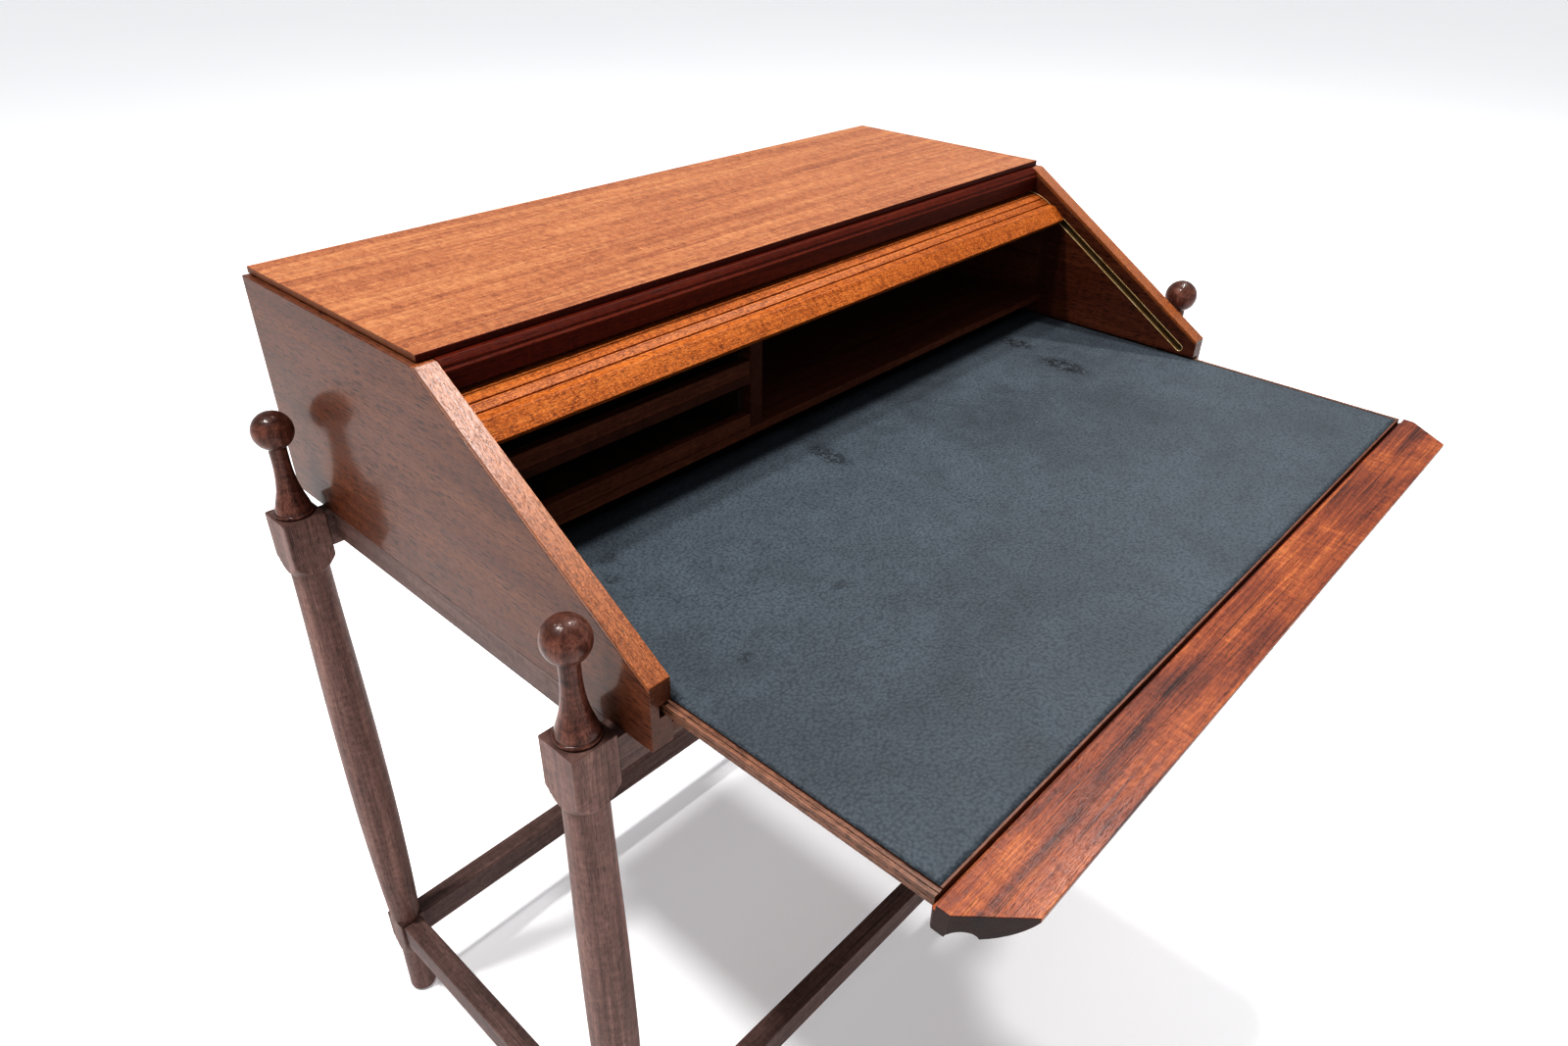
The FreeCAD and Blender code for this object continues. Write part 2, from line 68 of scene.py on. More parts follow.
# Studio
FLOOR_RADIUS = 30.0
CEILING = 4.0
LAMP_WIDE = 0.30
WALL_LIGHT = 0.72
WALL_FADE = 0.35
CEILING_LIGHT = 0.40
LAMPS = (("lamp_left_back", -1.54, 0.77, 84.0), ("lamp_left", -1.30, 0.04, 33.0),
         ("lamp_right", 1.03, 0.02, 62.0), ("lamp_far_right", 2.28, 0.22, 68.0))

# Turned leg: radii, half widths of the square blocks and heights from the floor
CORNER_WEAR = 0.7 * MM
BLOCK_EASE = 0.6 * MM
FOOT_R = 15.5 * MM
SOLE_ROUND = 6.0 * MM
LOW_NECK_R = 14.8 * MM
LOW_HALF = 15.5 * MM
LOW_CORNER = LOW_HALF * math.sqrt(2) - CORNER_WEAR
LOW_TOP = 138.0 * MM
LOW_LOW = 98.0 * MM
LOW_TAPER = 22.0 * MM
SHAFT_MM = ((16.8, 138.0), (19.9, 230.0), (21.5, 345.0), (20.6, 480.0), (18.4, 605.0), (17.9, 652.6))
RING_R = 18.2 * MM
RING_Z = 653.0 * MM
RING_ROUND = 0.35
BLOCK_HALF = 20.0 * MM
BLOCK_CORNER = BLOCK_HALF * math.sqrt(2) - CORNER_WEAR
BLOCK_LOW = 668.0 * MM
BLOCK_TOP = 714.8 * MM
FINIAL_FOOT_R = 16.6 * MM
BEAD = 2.0 * MM
BEAD_R = 16.2 * MM
BEAD_OUT = 0.9 * BEAD
FINIAL_MM = ((16.4, 719.0), (15.4, 724.0), (10.6, 741.0), (8.2, 760.0))
NECK_R = 7.9 * MM
BALL_Z = 800.0 * MM
BALL_R = 18.2 * MM
LEG_SHARP = 28
CORNER_STEPS = (-3.0, -2.0, -1.2, -0.4, 0.4, 1.2, 2.0, 3.0)

# Case: faces of the top board turned this far to the front take the rail material's darker wood as painted
# shade; the side panels' inner face, inward of which they take painted shade; and the brass groove's mouth
# and depth, between which painted shade darkens the brass
FRONT_SHADE_FACING = -0.5
INNER_FACE = 411.0 * MM
GROOVE_MOUTH = 411.5 * MM
GROOVE_DEEP = 413.0 * MM

# Roll-top: the straight track from the bar's head down the slope
ROLL_JOINT = next(j for j in frame["record"]["behaviour"]["joints"] if j["name"] == "roll_top_slide")
ROLL_TRAVEL = ROLL_JOINT["range_m"][1]
SLIDE_AXIS = Vector(ROLL_JOINT["axis"])
SLOPE = math.atan2(-SLIDE_AXIS.z, -SLIDE_AXIS.y)
INTO_CASE = Vector((0.0, -SLIDE_AXIS.z, SLIDE_AXIS.y))
SLANT_TOP = Vector((0.0, 119.3 * MM, 923.0 * MM))
HEAD_DOWN_SLOPE = 42.0 * MM
TRACK_HEAD = SLANT_TOP + SLIDE_AXIS * HEAD_DOWN_SLOPE
SLAT_PITCH = 10.0 * MM
SLAT_WIDE = 9.4 * MM
FOLD_START = 0.6 * MM
FOLD_LENGTH = 8.4 * MM
FOLD_TOP = 18.0 * MM
FOLD_LOW = 22.4 * MM
FOLD_BACKING = 0.5 * MM
SLAT_EASE = 0.5 * MM
SLAT_END_GAP = 1.0 * MM
BEND_SHRINK = Vector((0.998, 0.88, 0.88))
HALVINGS = 60

# Leather panel: cells across and along, how far it lies up and down, and its soft rim
LEATHER_CELLS = (164, 92)
LEATHER_LIE = 0.12 * MM
LEATHER_LIE_SCALE = 9
LEATHER_SUNK = 0.13 * MM
LEATHER_ROLL_OFF = 0.7 * MM
LEATHER_THICK = 0.9 * MM

# Wood figure: width and length along the fibres of each kind of mark
HAIR = (0.9 * MM, 30 * MM)
WING = (11 * MM, 5 * MM)
FLECK = (1.4 * MM, 1.8 * MM)
DARK_LINE = (1.6 * MM, 500 * MM)
CURL_PATCH = (70 * MM, 110 * MM)
CURL_RIPPLE = (34 * MM, 7 * MM)
BAND_STRETCH = 16
STREAK_STRETCH = 50
STREAK_SHARE = 0.38
BAND_SHARE = 0.36
HAIR_SHARE = 0.26


# ---------- node graphs ----------

class Graph:
    """A material's node tree, with short calls to add nodes and to link or set their inputs."""

    def __init__(self, name):
        self.material = bpy.data.materials.new(name)
        self.material.use_nodes = True
        self.tree = self.material.node_tree
        self.shader = self.tree.nodes["Principled BSDF"]
        self.coords = self.add("ShaderNodeTexCoord").outputs["Object"]

    def add(self, kind, inputs=None, **settings):
        node = self.tree.nodes.new(kind)
        for key, value in settings.items():
            setattr(node, key, value)
        for key, value in (inputs or {}).items():
            self.put(node.inputs[key], value)
        return node

    def put(self, socket, value):
        if isinstance(value, bpy.types.NodeSocket):
            self.tree.links.new(value, socket)
        else:
            socket.default_value = value

    def surface(self, **values):
        for key, value in values.items():
            self.put(self.shader.inputs[key.replace("_", " ")], value)

    def mapped(self, scale, offset=(0, 0, 0)):
        node = self.add("ShaderNodeMapping", {"Vector": self.coords, "Scale": scale, "Location": offset})
        return node.outputs["Vector"]

    def tilted(self, vector, angle):
        """Turns a vector about X, so that a slope up towards +Y lies flat."""
        node = self.add("ShaderNodeVectorRotate", {"Vector": vector, "Angle": -angle}, rotation_type="X_AXIS")
        return node.outputs["Vector"]

    def noise(self, vector, scale=1.0, detail=4.0, rough=0.55, distort=0.0):
        node = self.add("ShaderNodeTexNoise", {"Vector": vector, "Scale": scale, "Detail": detail,
                                               "Roughness": rough, "Distortion": distort})
        return node.outputs["Fac"]

    def math(self, operation, a, b=0.0, c=0.0):
        node = self.add("ShaderNodeMath", {0: a, 1: b, 2: c}, operation=operation)
        return node.outputs[0]

    def fit(self, value, low, high, to_low=0.0, to_high=1.0):
        node = self.add("ShaderNodeMapRange", {"Value": value, "From Min": low, "From Max": high,
                                               "To Min": to_low, "To Max": to_high})
        return node.outputs["Result"]

    def mix(self, factor, a, b, blend="MIX"):
        node = self.add("ShaderNodeMix", data_type="RGBA", blend_type=blend)
        self.put(node.inputs["Factor"], factor)
        self.put(node.inputs[6], a)
        self.put(node.inputs[7], b)
        return node.outputs[2]

    def ramp(self, value, stops):
        node = self.add("ShaderNodeValToRGB", {"Fac": value})
        elements = node.color_ramp.elements
        while len(elements) < len(stops):
            elements.new(0.5)
        for element, (position, colour) in zip(elements, stops):
            element.position = position
            element.color = (*colour, 1.0)
        return node.outputs["Color"]

    def bump(self, height, distance, strength=1.0):
        node = self.add("ShaderNodeBump", {"Height": height, "Distance": distance, "Strength": strength})
        return node.outputs["Normal"]

    def from_middle(self):
        """Distance to either side of the desk's middle."""
        parts = self.add("ShaderNodeSeparateXYZ", {"Vector": self.coords})
        return self.math("ABSOLUTE", parts.outputs["X"])

    def near(self, x, y, half_x, half_y):
        """1 at the middle of an ellipse seen from above, falling to 0 at its rim."""
        moved = self.mapped((1.0 / half_x, 1.0 / half_y, 0.0), (-x / half_x, -y / half_y, 0.0))
        length = self.add("ShaderNodeVectorMath", {0: moved}, operation="LENGTH").outputs["Value"]
        return self.fit(length, 1.0, 0.5)


def rgba(colour):
    return (*colour, 1.0)


def shade(colour, factor):
    return tuple(channel * factor for channel in colour)


# ---------- materials ----------

def curled(g, fibres, body, curl):
    """Adds patches of rippled grain, lighter than the wood round them."""
    patch = g.noise(fibres(*CURL_PATCH), detail=1.0, distort=0.6)
    ripple = g.noise(fibres(*CURL_RIPPLE), detail=4.0, rough=0.55, distort=1.4)
    swirl = g.math("MULTIPLY", g.fit(patch, 0.45, 0.62), g.math("SUBTRACT", ripple, 0.42))
    body = g.math("MULTIPLY_ADD", swirl, curl, body)
    return g.math("MULTIPLY_ADD", g.math("SUBTRACT", patch, 0.53), curl, body)


def wood_figure(g, fibres, streaks, hairs, band, mottle, curl):
    """Depth of tone: broad bands, streaks, hairs and short marks across the grain, with curls if any."""
    bands = g.noise(fibres(band, band * BAND_STRETCH), detail=3.0, distort=1.0)
    wing = g.noise(fibres(*WING), detail=5.0, rough=0.65, distort=0.5)
    body = g.math("MULTIPLY_ADD", streaks, STREAK_SHARE, g.math("MULTIPLY", bands, BAND_SHARE))
    body = g.math("MULTIPLY_ADD", hairs, HAIR_SHARE, body)
    body = g.math("MULTIPLY_ADD", g.math("SUBTRACT", wing, 0.5), mottle, body)
    return curled(g, fibres, body, curl) if curl else body


def wood_marks(g, fibres, colour, tones, wander, fleck, hairline):
    """Lighter flecks and long dark lines."""
    spots = g.noise(fibres(*FLECK), detail=3.0, rough=0.6)
    amount = g.math("MULTIPLY", g.fit(spots, 0.50, 0.68), fleck)
    colour = g.mix(amount, colour, rgba(shade(tones[-1], 1.5)))
    line = g.noise(fibres(*DARK_LINE), detail=2.0, distort=wander * 0.5)
    amount = g.math("MULTIPLY", g.fit(line, 0.62, 0.70), hairline)
    return g.mix(amount, colour, rgba(shade(tones[0], 0.4)))


def end_grain(g, colour, axis, tilt, end_dark, tone):
    """Darkens the faces that the fibres run into."""
    normal = g.tilted(g.add("ShaderNodeNewGeometry").outputs["Normal"], tilt)
    facing = g.add("ShaderNodeSeparateXYZ", {"Vector": normal}).outputs[axis]
    ends = g.fit(g.math("ABSOLUTE", facing), 0.45, 0.75, 0.0, end_dark)
    return g.mix(ends, colour, rgba(shade(tone, 0.6)))


def paint_shade_inside(g, colour, tint):
    """Painted shade: darkens a side panel's face that looks into the case, as the case shades it."""
    inside = g.fit(g.from_middle(), INNER_FACE + 0.1 * MM, INNER_FACE - 0.1 * MM)
    return g.mix(inside, colour, g.mix(1.0, colour, rgba(tint), "MULTIPLY"))


def wood(name, tones, grain, rough=0.4, coat=0.0, coat_rough=0.15, seed=0.0, spread=0.15, band=0.03,
         streak=0.004, wander=0.6, mottle=0.25, pores=0.5, pore_size=(0.8 * MM, 9 * MM), hairline=0.35,
         fleck=0.0, relief=0.5, specular=0.5, end_dark=0.6, tilt=0.0, curl=0.0, painted_inside_shade=None):
    """Figured wood: tones runs from dark to light, grain is the axis of the fibres, sizes are in metres."""
    g = Graph(name)
    g.coords = g.tilted(g.coords, tilt)
    axis = "XYZ".index(grain)

    def fibres(width, length):
        scale = [1.0 / width] * 3
        scale[axis] = 1.0 / length
        return g.mapped(tuple(scale), (seed, seed * 1.7, seed * 2.3))

    streaks = g.noise(fibres(streak, streak * STREAK_STRETCH), detail=7.0, rough=0.62, distort=wander)
    hairs = g.noise(fibres(*HAIR), detail=4.0, rough=0.7)
    body = wood_figure(g, fibres, streaks, hairs, band, mottle, curl)
    stops = [(0.5 - spread + 2 * spread * i / (len(tones) - 1), tone) for i, tone in enumerate(tones)]
    colour = wood_marks(g, fibres, g.ramp(body, stops), tones, wander, fleck, hairline)
    pore = g.fit(g.noise(fibres(*pore_size), detail=1.0), 0.56, 0.66)
    colour = g.mix(g.math("MULTIPLY", pore, pores), colour, rgba(shade(tones[0], 0.35)))
    colour = end_grain(g, colour, axis, tilt, end_dark, tones[0])
    # painted shade on the side panels' faces that look into the case
    if painted_inside_shade is not None:
        colour = paint_shade_inside(g, colour, painted_inside_shade)
    g.surface(Base_Color=colour, Coat_Weight=coat, Coat_Roughness=coat_rough, Specular_IOR_Level=specular)
    g.surface(Roughness=g.fit(streaks, 0.3, 0.7, rough - 0.06, rough + 0.08))
    height = g.math("MULTIPLY_ADD", hairs, 0.5, g.math("MULTIPLY", pore, -0.6))
    uneven = g.bump(height, 0.15 * MM, relief)
    g.surface(Normal=uneven, Coat_Normal=uneven)
    return g.material


def leather():
    """Slate leather with a fine pebble grain, painted shade in the creases between pebbles, cloudy tone and
    dark damp marks.
    """
    g = Graph("leather")
    pebble = g.add("ShaderNodeTexVoronoi", {"Vector": g.coords, "Scale": 430.0}, feature="SMOOTH_F1")
    grain = pebble.outputs["Distance"]
    creases = g.noise(g.coords, 320.0, 5.0, 0.65, 1.2)
    cloud = g.noise(g.coords, 6.0, 4.0, 0.6, 0.4)
    patches = g.noise(g.coords, 34.0, 5.0, 0.65, 0.6)
    tone = g.math("MULTIPLY_ADD", cloud, 0.6, g.math("MULTIPLY", patches, 0.4))
    colour = g.ramp(tone, [(0.36, (0.038, 0.046, 0.054)), (0.5, (0.051, 0.062, 0.073)),
                           (0.64, (0.063, 0.077, 0.091))])
    # painted shade in the creases between pebbles
    colour = g.mix(g.fit(grain, 0.25, 0.65, 0.0, 0.6), colour, rgba((0.016, 0.021, 0.027)))
    for x, y, half_x, half_y, finest, strength in LEATHER_MARKS:
        blotch = g.fit(g.noise(g.coords, 1.0 / finest, 4.0, 0.7, 0.8), 0.44, 0.54)
        mask = g.math("MULTIPLY", g.near(x, y, half_x, half_y), blotch)
        colour = g.mix(g.math("MULTIPLY", mask, strength), colour, rgba((0.006, 0.008, 0.010)))
    g.surface(Base_Color=colour, Roughness=g.fit(patches, 0.3, 0.7, 0.50, 0.62), Specular_IOR_Level=0.24)
    height = g.math("MULTIPLY_ADD", grain, -0.8, g.math("MULTIPLY", creases, 0.25))
    g.surface(Normal=g.bump(height, 0.5 * MM, 1.0))
    return g.material


def brass():
    """Worn brass, darkened inside the groove by painted shade."""
    g = Graph("brass")
    tarnish = g.noise(g.coords, 90.0, 5.0, 0.6)
    colour = g.ramp(tarnish, [(0.35, (0.66, 0.44, 0.19)), (0.5, (0.88, 0.65, 0.34)),
                              (0.65, (0.97, 0.79, 0.48))])
    # painted shade: darkens the brass from the groove's mouth to its floor
    groove_shade = g.fit(g.from_middle(), GROOVE_MOUTH, GROOVE_DEEP, 0.0, 0.85)
    colour = g.mix(groove_shade, colour, rgba((0.100, 0.050, 0.018)))
    g.surface(Base_Color=colour, Metallic=0.55, Roughness=g.fit(tarnish, 0.3, 0.7, 0.42, 0.28))
    g.surface(Normal=g.bump(g.noise(g.coords, 900.0, 2.0), 0.04 * MM, 0.4))
    return g.material


def canvas():
    """Plain-woven canvas."""
    g = Graph("canvas")
    threads = [g.add("ShaderNodeTexWave", {"Vector": g.coords, "Scale": 320.0, "Distortion": 0.4},
                     wave_type="BANDS", bands_direction=way).outputs["Fac"] for way in "XY"]
    weave = g.math("MAXIMUM", *threads)
    colour = g.ramp(weave, [(0.2, (0.12, 0.09, 0.06)), (0.8, (0.36, 0.30, 0.21))])
    g.surface(Base_Color=colour, Roughness=0.9, Normal=g.bump(weave, 0.2 * MM, 0.7))
    return g.material


def glowing_floor():
    """Plain pale floor that glows with painted light: faintly by the desk, lifting the shadows under it, and
    brighter away from the desk, as a white studio does.
    """
    g = Graph("stage_floor")
    cloud = g.noise(g.coords, 0.5, 2.0)
    g.surface(Base_Color=g.ramp(cloud, [(0.3, (0.86, 0.86, 0.87)), (0.7, (0.88, 0.88, 0.885))]))
    # the floor's glow is painted light; near the desk it lifts the shadows
    g.surface(Roughness=0.75, Emission_Color=(0.97, 0.98, 1.0, 1.0))
    away = g.add("ShaderNodeVectorMath", {0: g.coords}, operation="LENGTH").outputs["Value"]
    g.surface(Emission_Strength=g.add("ShaderNodeMapRange", {"Value": away, "From Min": 1.2, "From Max": 5.0,
                                                             "To Min": 0.13, "To Max": 0.24},
                                      interpolation_type="SMOOTHSTEP").outputs["Result"])
    return g.material


# Marks on the leather: centre x and y, half sizes, blotch size and strength
LEATHER_MARKS = ((0.303, 0.050, 0.015, 0.028, 5 * MM, 0.95), (0.285, -0.025, 0.020, 0.040, 5 * MM, 0.95),
                 (-0.070, 0.026, 0.014, 0.034, 4 * MM, 0.85), (-0.229, -0.120, 0.010, 0.006, 3 * MM, 0.6),
                 (-0.333, 0.041, 0.012, 0.008, 3 * MM, 0.6), (-0.348, 0.016, 0.009, 0.009, 3 * MM, 0.6),
                 (-0.344, -0.129, 0.008, 0.008, 3 * MM, 0.6))

TEAK = ((0.145, 0.040, 0.014), (0.250, 0.088, 0.034), (0.345, 0.155, 0.066))
UMBER = ((0.066, 0.022, 0.012), (0.120, 0.042, 0.021), (0.178, 0.068, 0.034))
FLAME = ((0.140, 0.031, 0.006), (0.245, 0.069, 0.013), (0.345, 0.114, 0.025))
AMBER = ((0.095, 0.023, 0.006), (0.200, 0.058, 0.013), (0.285, 0.098, 0.026))
ROSE = ((0.012, 0.004, 0.003), (0.066, 0.015, 0.008), (0.150, 0.035, 0.014), (0.230, 0.060, 0.018),
        (0.350, 0.115, 0.034))
DUSK = ((0.068, 0.034, 0.028), (0.176, 0.094, 0.076), (0.300, 0.176, 0.146))
SMOKE = ((0.048, 0.027, 0.023), (0.118, 0.068, 0.058), (0.200, 0.124, 0.106))
POLISHED = ((0.034, 0.013, 0.009), (0.120, 0.047, 0.033), (0.235, 0.100, 0.070))
RUBY = ((0.038, 0.005, 0.002), (0.076, 0.011, 0.004), (0.118, 0.020, 0.007))
UNIT = ((0.050, 0.014, 0.007), (0.100, 0.031, 0.015), (0.165, 0.058, 0.028))
EDGE = ((0.060, 0.027, 0.018), (0.155, 0.072, 0.044), (0.270, 0.130, 0.080))
# drawer linings coloured dark as painted shade, for the shade inside the drawers
SHADED_LINING = ((0.030, 0.016, 0.010), (0.055, 0.030, 0.019), (0.085, 0.050, 0.032))


def make_materials():
    return {
        "top": wood("teak_top", TEAK, "X", rough=0.45, seed=3.1, mottle=0.42, spread=0.13, hairline=0.55,
                    pores=0.4, fleck=0.35, specular=0.3),
        # the side panels' inner faces are darkened with painted shade
        "side": wood("teak_side", UMBER, "Y", rough=0.5, coat=0.4, coat_rough=0.10, seed=7.7, pores=0.95,
                     pore_size=(0.7 * MM, 11 * MM), hairline=0.5, relief=0.35, specular=0.1, end_dark=0.15,
                     painted_inside_shade=(0.42, 0.20, 0.14)),
        "case_x": wood("teak_case_x", UMBER, "X", rough=0.45, seed=5.5, specular=0.3),
        "lipping": wood("teak_lipping", AMBER, "Y", rough=0.40, coat=0.25, coat_rough=0.3, seed=11.3,
                        streak=0.003, pores=0.7, pore_size=(0.5 * MM, 5 * MM), hairline=0.7, fleck=0.6,
                        relief=0.9, specular=0.35, tilt=SLOPE),
        "roll": wood("roll_top_wood", FLAME, "X", rough=0.42, seed=13.9, streak=0.0025, mottle=0.55,
                     spread=0.13, pores=0.75, pore_size=(0.7 * MM, 5 * MM), fleck=0.8, specular=0.12),
        "pull": wood("pull_wood", ROSE, "X", rough=0.38, coat=0.12, coat_rough=0.2, seed=17.1, band=0.016,
                     streak=0.007, spread=0.165, wander=2.4, mottle=0.12, hairline=0.85, pores=0.45,
                     pore_size=(0.6 * MM, 6 * MM), specular=0.18, end_dark=0.9, curl=0.24),
        "finial": wood("finial_wood", POLISHED, "Z", rough=0.34, coat=0.3, coat_rough=0.04, seed=23.0,
                       band=0.014, mottle=0.4, specular=0.15),
        "frame_z": wood("frame_wood_z", DUSK, "Z", rough=0.5, seed=23.0, band=0.014, specular=0.35),
        "frame_x": wood("frame_wood_x", SMOKE, "X", rough=0.5, seed=29.0, band=0.014, specular=0.35),
        "frame_y": wood("frame_wood_y", SMOKE, "Y", rough=0.5, seed=31.0, band=0.014, specular=0.35),
        # this wood also serves as painted shade on the top board's front faces
        "rail_and_shade": wood("top_rail_wood_and_shade", RUBY, "X", rough=0.4, seed=19.0, specular=0.12),
        "unit_x": wood("unit_wood_x", UNIT, "X", rough=0.5, seed=47.0, specular=0.15),
        "unit_y": wood("unit_wood_y", UNIT, "Y", rough=0.5, seed=53.0, specular=0.15),
        "edge": wood("edge_wood", EDGE, "Y", rough=0.42, seed=59.0, pores=0.8, hairline=0.8, specular=0.3),
        # drawer linings: painted shade
        "shaded_lining": wood("shaded_lining_wood", SHADED_LINING, "Y", rough=0.6, pores=0.2, seed=43.0, specular=0.15),
        "leather": leather(),
        "brass": brass(),
        "canvas": canvas(),
    }


LOOK = make_materials()


# ---------- mesh helpers ----------

def piece_from(name, vertices, faces, material, smooth_angle=None):
    mesh = bpy.data.meshes.new(name)
    mesh.from_pydata(vertices, [], faces)
    mesh.validate()
    obj = bpy.data.objects.new(name, mesh)
    bpy.context.scene.collection.objects.link(obj)
    mesh.materials.append(LOOK[material])
    if smooth_angle is not None:
        mesh.shade_smooth()
        mesh.set_sharp_from_angle(angle=math.radians(smooth_angle))
    return obj


def stand_for(obj, *nodes):
    """The piece rides on its node's body and hides it."""
    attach(obj, BODY_OF[nodes[0]])
    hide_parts(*nodes)
    return obj


def eased(node, material, radius=0.8 * MM, segments=2, angle=35):
    """Copy of a CAD node with its edges rounded over as they are on real joinery."""
    bm = bmesh.new()
    bm.from_mesh(NODES[node].data)
    bmesh.ops.remove_doubles(bm, verts=bm.verts, dist=0.005 * MM)
    bmesh.ops.dissolve_limit(bm, angle_limit=math.radians(0.6), verts=bm.verts, edges=bm.edges)
    mesh = bpy.data.meshes.new(node + "_shown")
    bm.to_mesh(mesh)
    bm.free()
    obj = bpy.data.objects.new(node + "_shown", mesh)
    bpy.context.scene.collection.objects.link(obj)
    mesh.materials.clear()
    mesh.materials.append(LOOK[material])
    bevel = obj.modifiers.new("ease", "BEVEL")
    bevel.width = radius
    bevel.segments = segments
    bevel.limit_method = "ANGLE"
    bevel.angle_limit = math.radians(angle)
    mesh.shade_smooth()
    weighted = obj.modifiers.new("even", "WEIGHTED_NORMAL")
    weighted.weight = 80
    apply_modifiers(obj)
    return stand_for(obj, node)


def apply_modifiers(obj):
    bpy.context.view_layer.update()
    depsgraph = bpy.context.evaluated_depsgraph_get()
    mesh = bpy.data.meshes.new_from_object(obj.evaluated_get(depsgraph), preserve_all_data_layers=True,
                                           depsgraph=depsgraph)
    obj.modifiers.clear()
    obj.data = mesh


# ---------- legs ----------

def smooth_line(points, steps):
    """Points along a smooth curve through (radius, z) points, as a Catmull-Rom spline."""
    padded = [points[0]] + list(points) + [points[-1]]
    line = []
    for i in range(1, len(padded) - 2):
        p0, p1, p2, p3 = (Vector(p) for p in padded[i - 1:i + 3])
        for k in range(steps):
            t = k / steps
            line.append(tuple(0.5 * ((2 * p1) + (p2 - p0) * t + (2 * p0 - 5 * p1 + 4 * p2 - p3) * t * t
                                     + (3 * p1 - p0 - 3 * p2 + p3) * t ** 3)))
    line.append(tuple(points[-1]))
    return line


def square_top(corner, top, half):
    """Top edge of a square block, slightly eased."""
    return [(corner, top - BLOCK_EASE, half), (corner - BLOCK_EASE, top, half - BLOCK_EASE)]


def leg_outline():
    """Rings of the leg from the floor up: lathe radius, height and half-width of the square, if any."""
    rings = [(0.0, 0.0, None)]
    for k in range(7):
        turn = math.radians(15 * k)
        rings.append((FOOT_R - SOLE_ROUND + SOLE_ROUND * math.sin(turn),
                      SOLE_ROUND - SOLE_ROUND * math.cos(turn), None))
    low = LOW_LOW - LOW_TAPER
    rings.append((LOW_NECK_R, low, None))
    for k in range(1, 13):
        t = k / 12
        rings.append((LOW_NECK_R + (LOW_CORNER - LOW_NECK_R) * t, low + LOW_TAPER * t, LOW_HALF))
    rings += square_top(LOW_CORNER, LOW_TOP, LOW_HALF)
    rings += [(r * MM, z * MM, None) for r, z in smooth_line(SHAFT_MM, 10)]
    for k in range(15):
        t = k / 14
        swell = math.sin(t * math.pi / 2) * RING_ROUND + t * (1.0 - RING_ROUND)
        rings.append((RING_R + (BLOCK_CORNER - RING_R) * swell,
                      RING_Z + (BLOCK_LOW - RING_Z) * t, BLOCK_HALF))
    rings += square_top(BLOCK_CORNER, BLOCK_TOP, BLOCK_HALF)
    return rings + finial_outline()


def finial_outline():
    """Bead, flared foot, hollow neck and ball."""
    rings = [(FINIAL_FOOT_R, BLOCK_TOP, None)]
    for k in range(9):
        turn = math.radians(-90 + 22.5 * k)
        rings.append((BEAD_R + BEAD_OUT * math.cos(turn), BLOCK_TOP + BEAD + BEAD * math.sin(turn), None))
    join = BALL_Z - math.sqrt(BALL_R ** 2 - NECK_R ** 2)
    neck = FINIAL_MM + ((NECK_R / MM, join / MM),)
    rings += [(r * MM, z * MM, None) for r, z in smooth_line(neck, 8)]
    start = math.atan2(join - BALL_Z, NECK_R)
    for k in range(1, 29):
        turn = start + (math.pi / 2 - start) * k / 28
        rings.append((max(BALL_R * math.cos(turn), 0.0), BALL_Z + BALL_R * math.sin(turn), None))
    return rings


def ring_angles():
    """Angles round the leg, closer together at the corners of the square blocks."""
    near = [45 + step for step in CORNER_STEPS]
    quarter = [6 * k for k in range(15) if abs(6 * k - 45) > 4] + near
    return sorted(math.radians(a + 90 * q) for q in range(4) for a in quarter)


def ring_radius(lathe, half, angle):
    if half is None:
        return lathe
    flat = half / max(abs(math.cos(angle)), abs(math.sin(angle)))
    return min(flat, lathe)


def weld(obj, distance):
    bm = bmesh.new()
    bm.from_mesh(obj.data)
    bmesh.ops.remove_doubles(bm, verts=bm.verts, dist=distance)
    bm.to_mesh(obj.data)
    bm.free()


def second_material(obj, material, chosen):
    """Gives the faces that chosen picks a second material."""
    obj.data.materials.append(LOOK[material])
    for polygon in obj.data.polygons:
        polygon.material_index = 1 if chosen(polygon) else 0


def make_leg(node):
    low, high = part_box(node)
    centre = (low + high) / 2
    angles = ring_angles()
    count = len(angles)
    vertices = []
    faces = []
    rings = leg_outline()
    for lathe, z, half in rings:
        for angle in angles:
            r = ring_radius(lathe, half, angle)
            vertices.append((centre.x + r * math.cos(angle), centre.y + r * math.sin(angle), z))
    for i in range(len(rings) - 1):
        for k in range(count):
            j = (k + 1) % count
            faces.append((i * count + k, i * count + j, (i + 1) * count + j, (i + 1) * count + k))
    obj = piece_from(node + "_shown", vertices, faces, "frame_z")
    weld(obj, 0.002 * MM)
    obj.data.shade_smooth()
    obj.data.set_sharp_from_angle(angle=math.radians(LEG_SHARP))
    second_material(obj, "finial", lambda polygon: polygon.center.z > BLOCK_TOP + 0.1 * MM)
    return stand_for(obj, node)


def make_frame():
    for end in ("front", "back"):
        for side in ("left", "right"):
            make_leg("leg_" + end + "_" + side)
        eased("rail_" + end, "frame_x")
        eased("stretcher_" + end, "frame_x", 1.2 * MM)
    for side in ("left", "right"):
        eased("rail_" + side, "frame_y")
        eased("stretcher_" + side, "frame_y", 1.2 * MM)


# ---------- case ----------

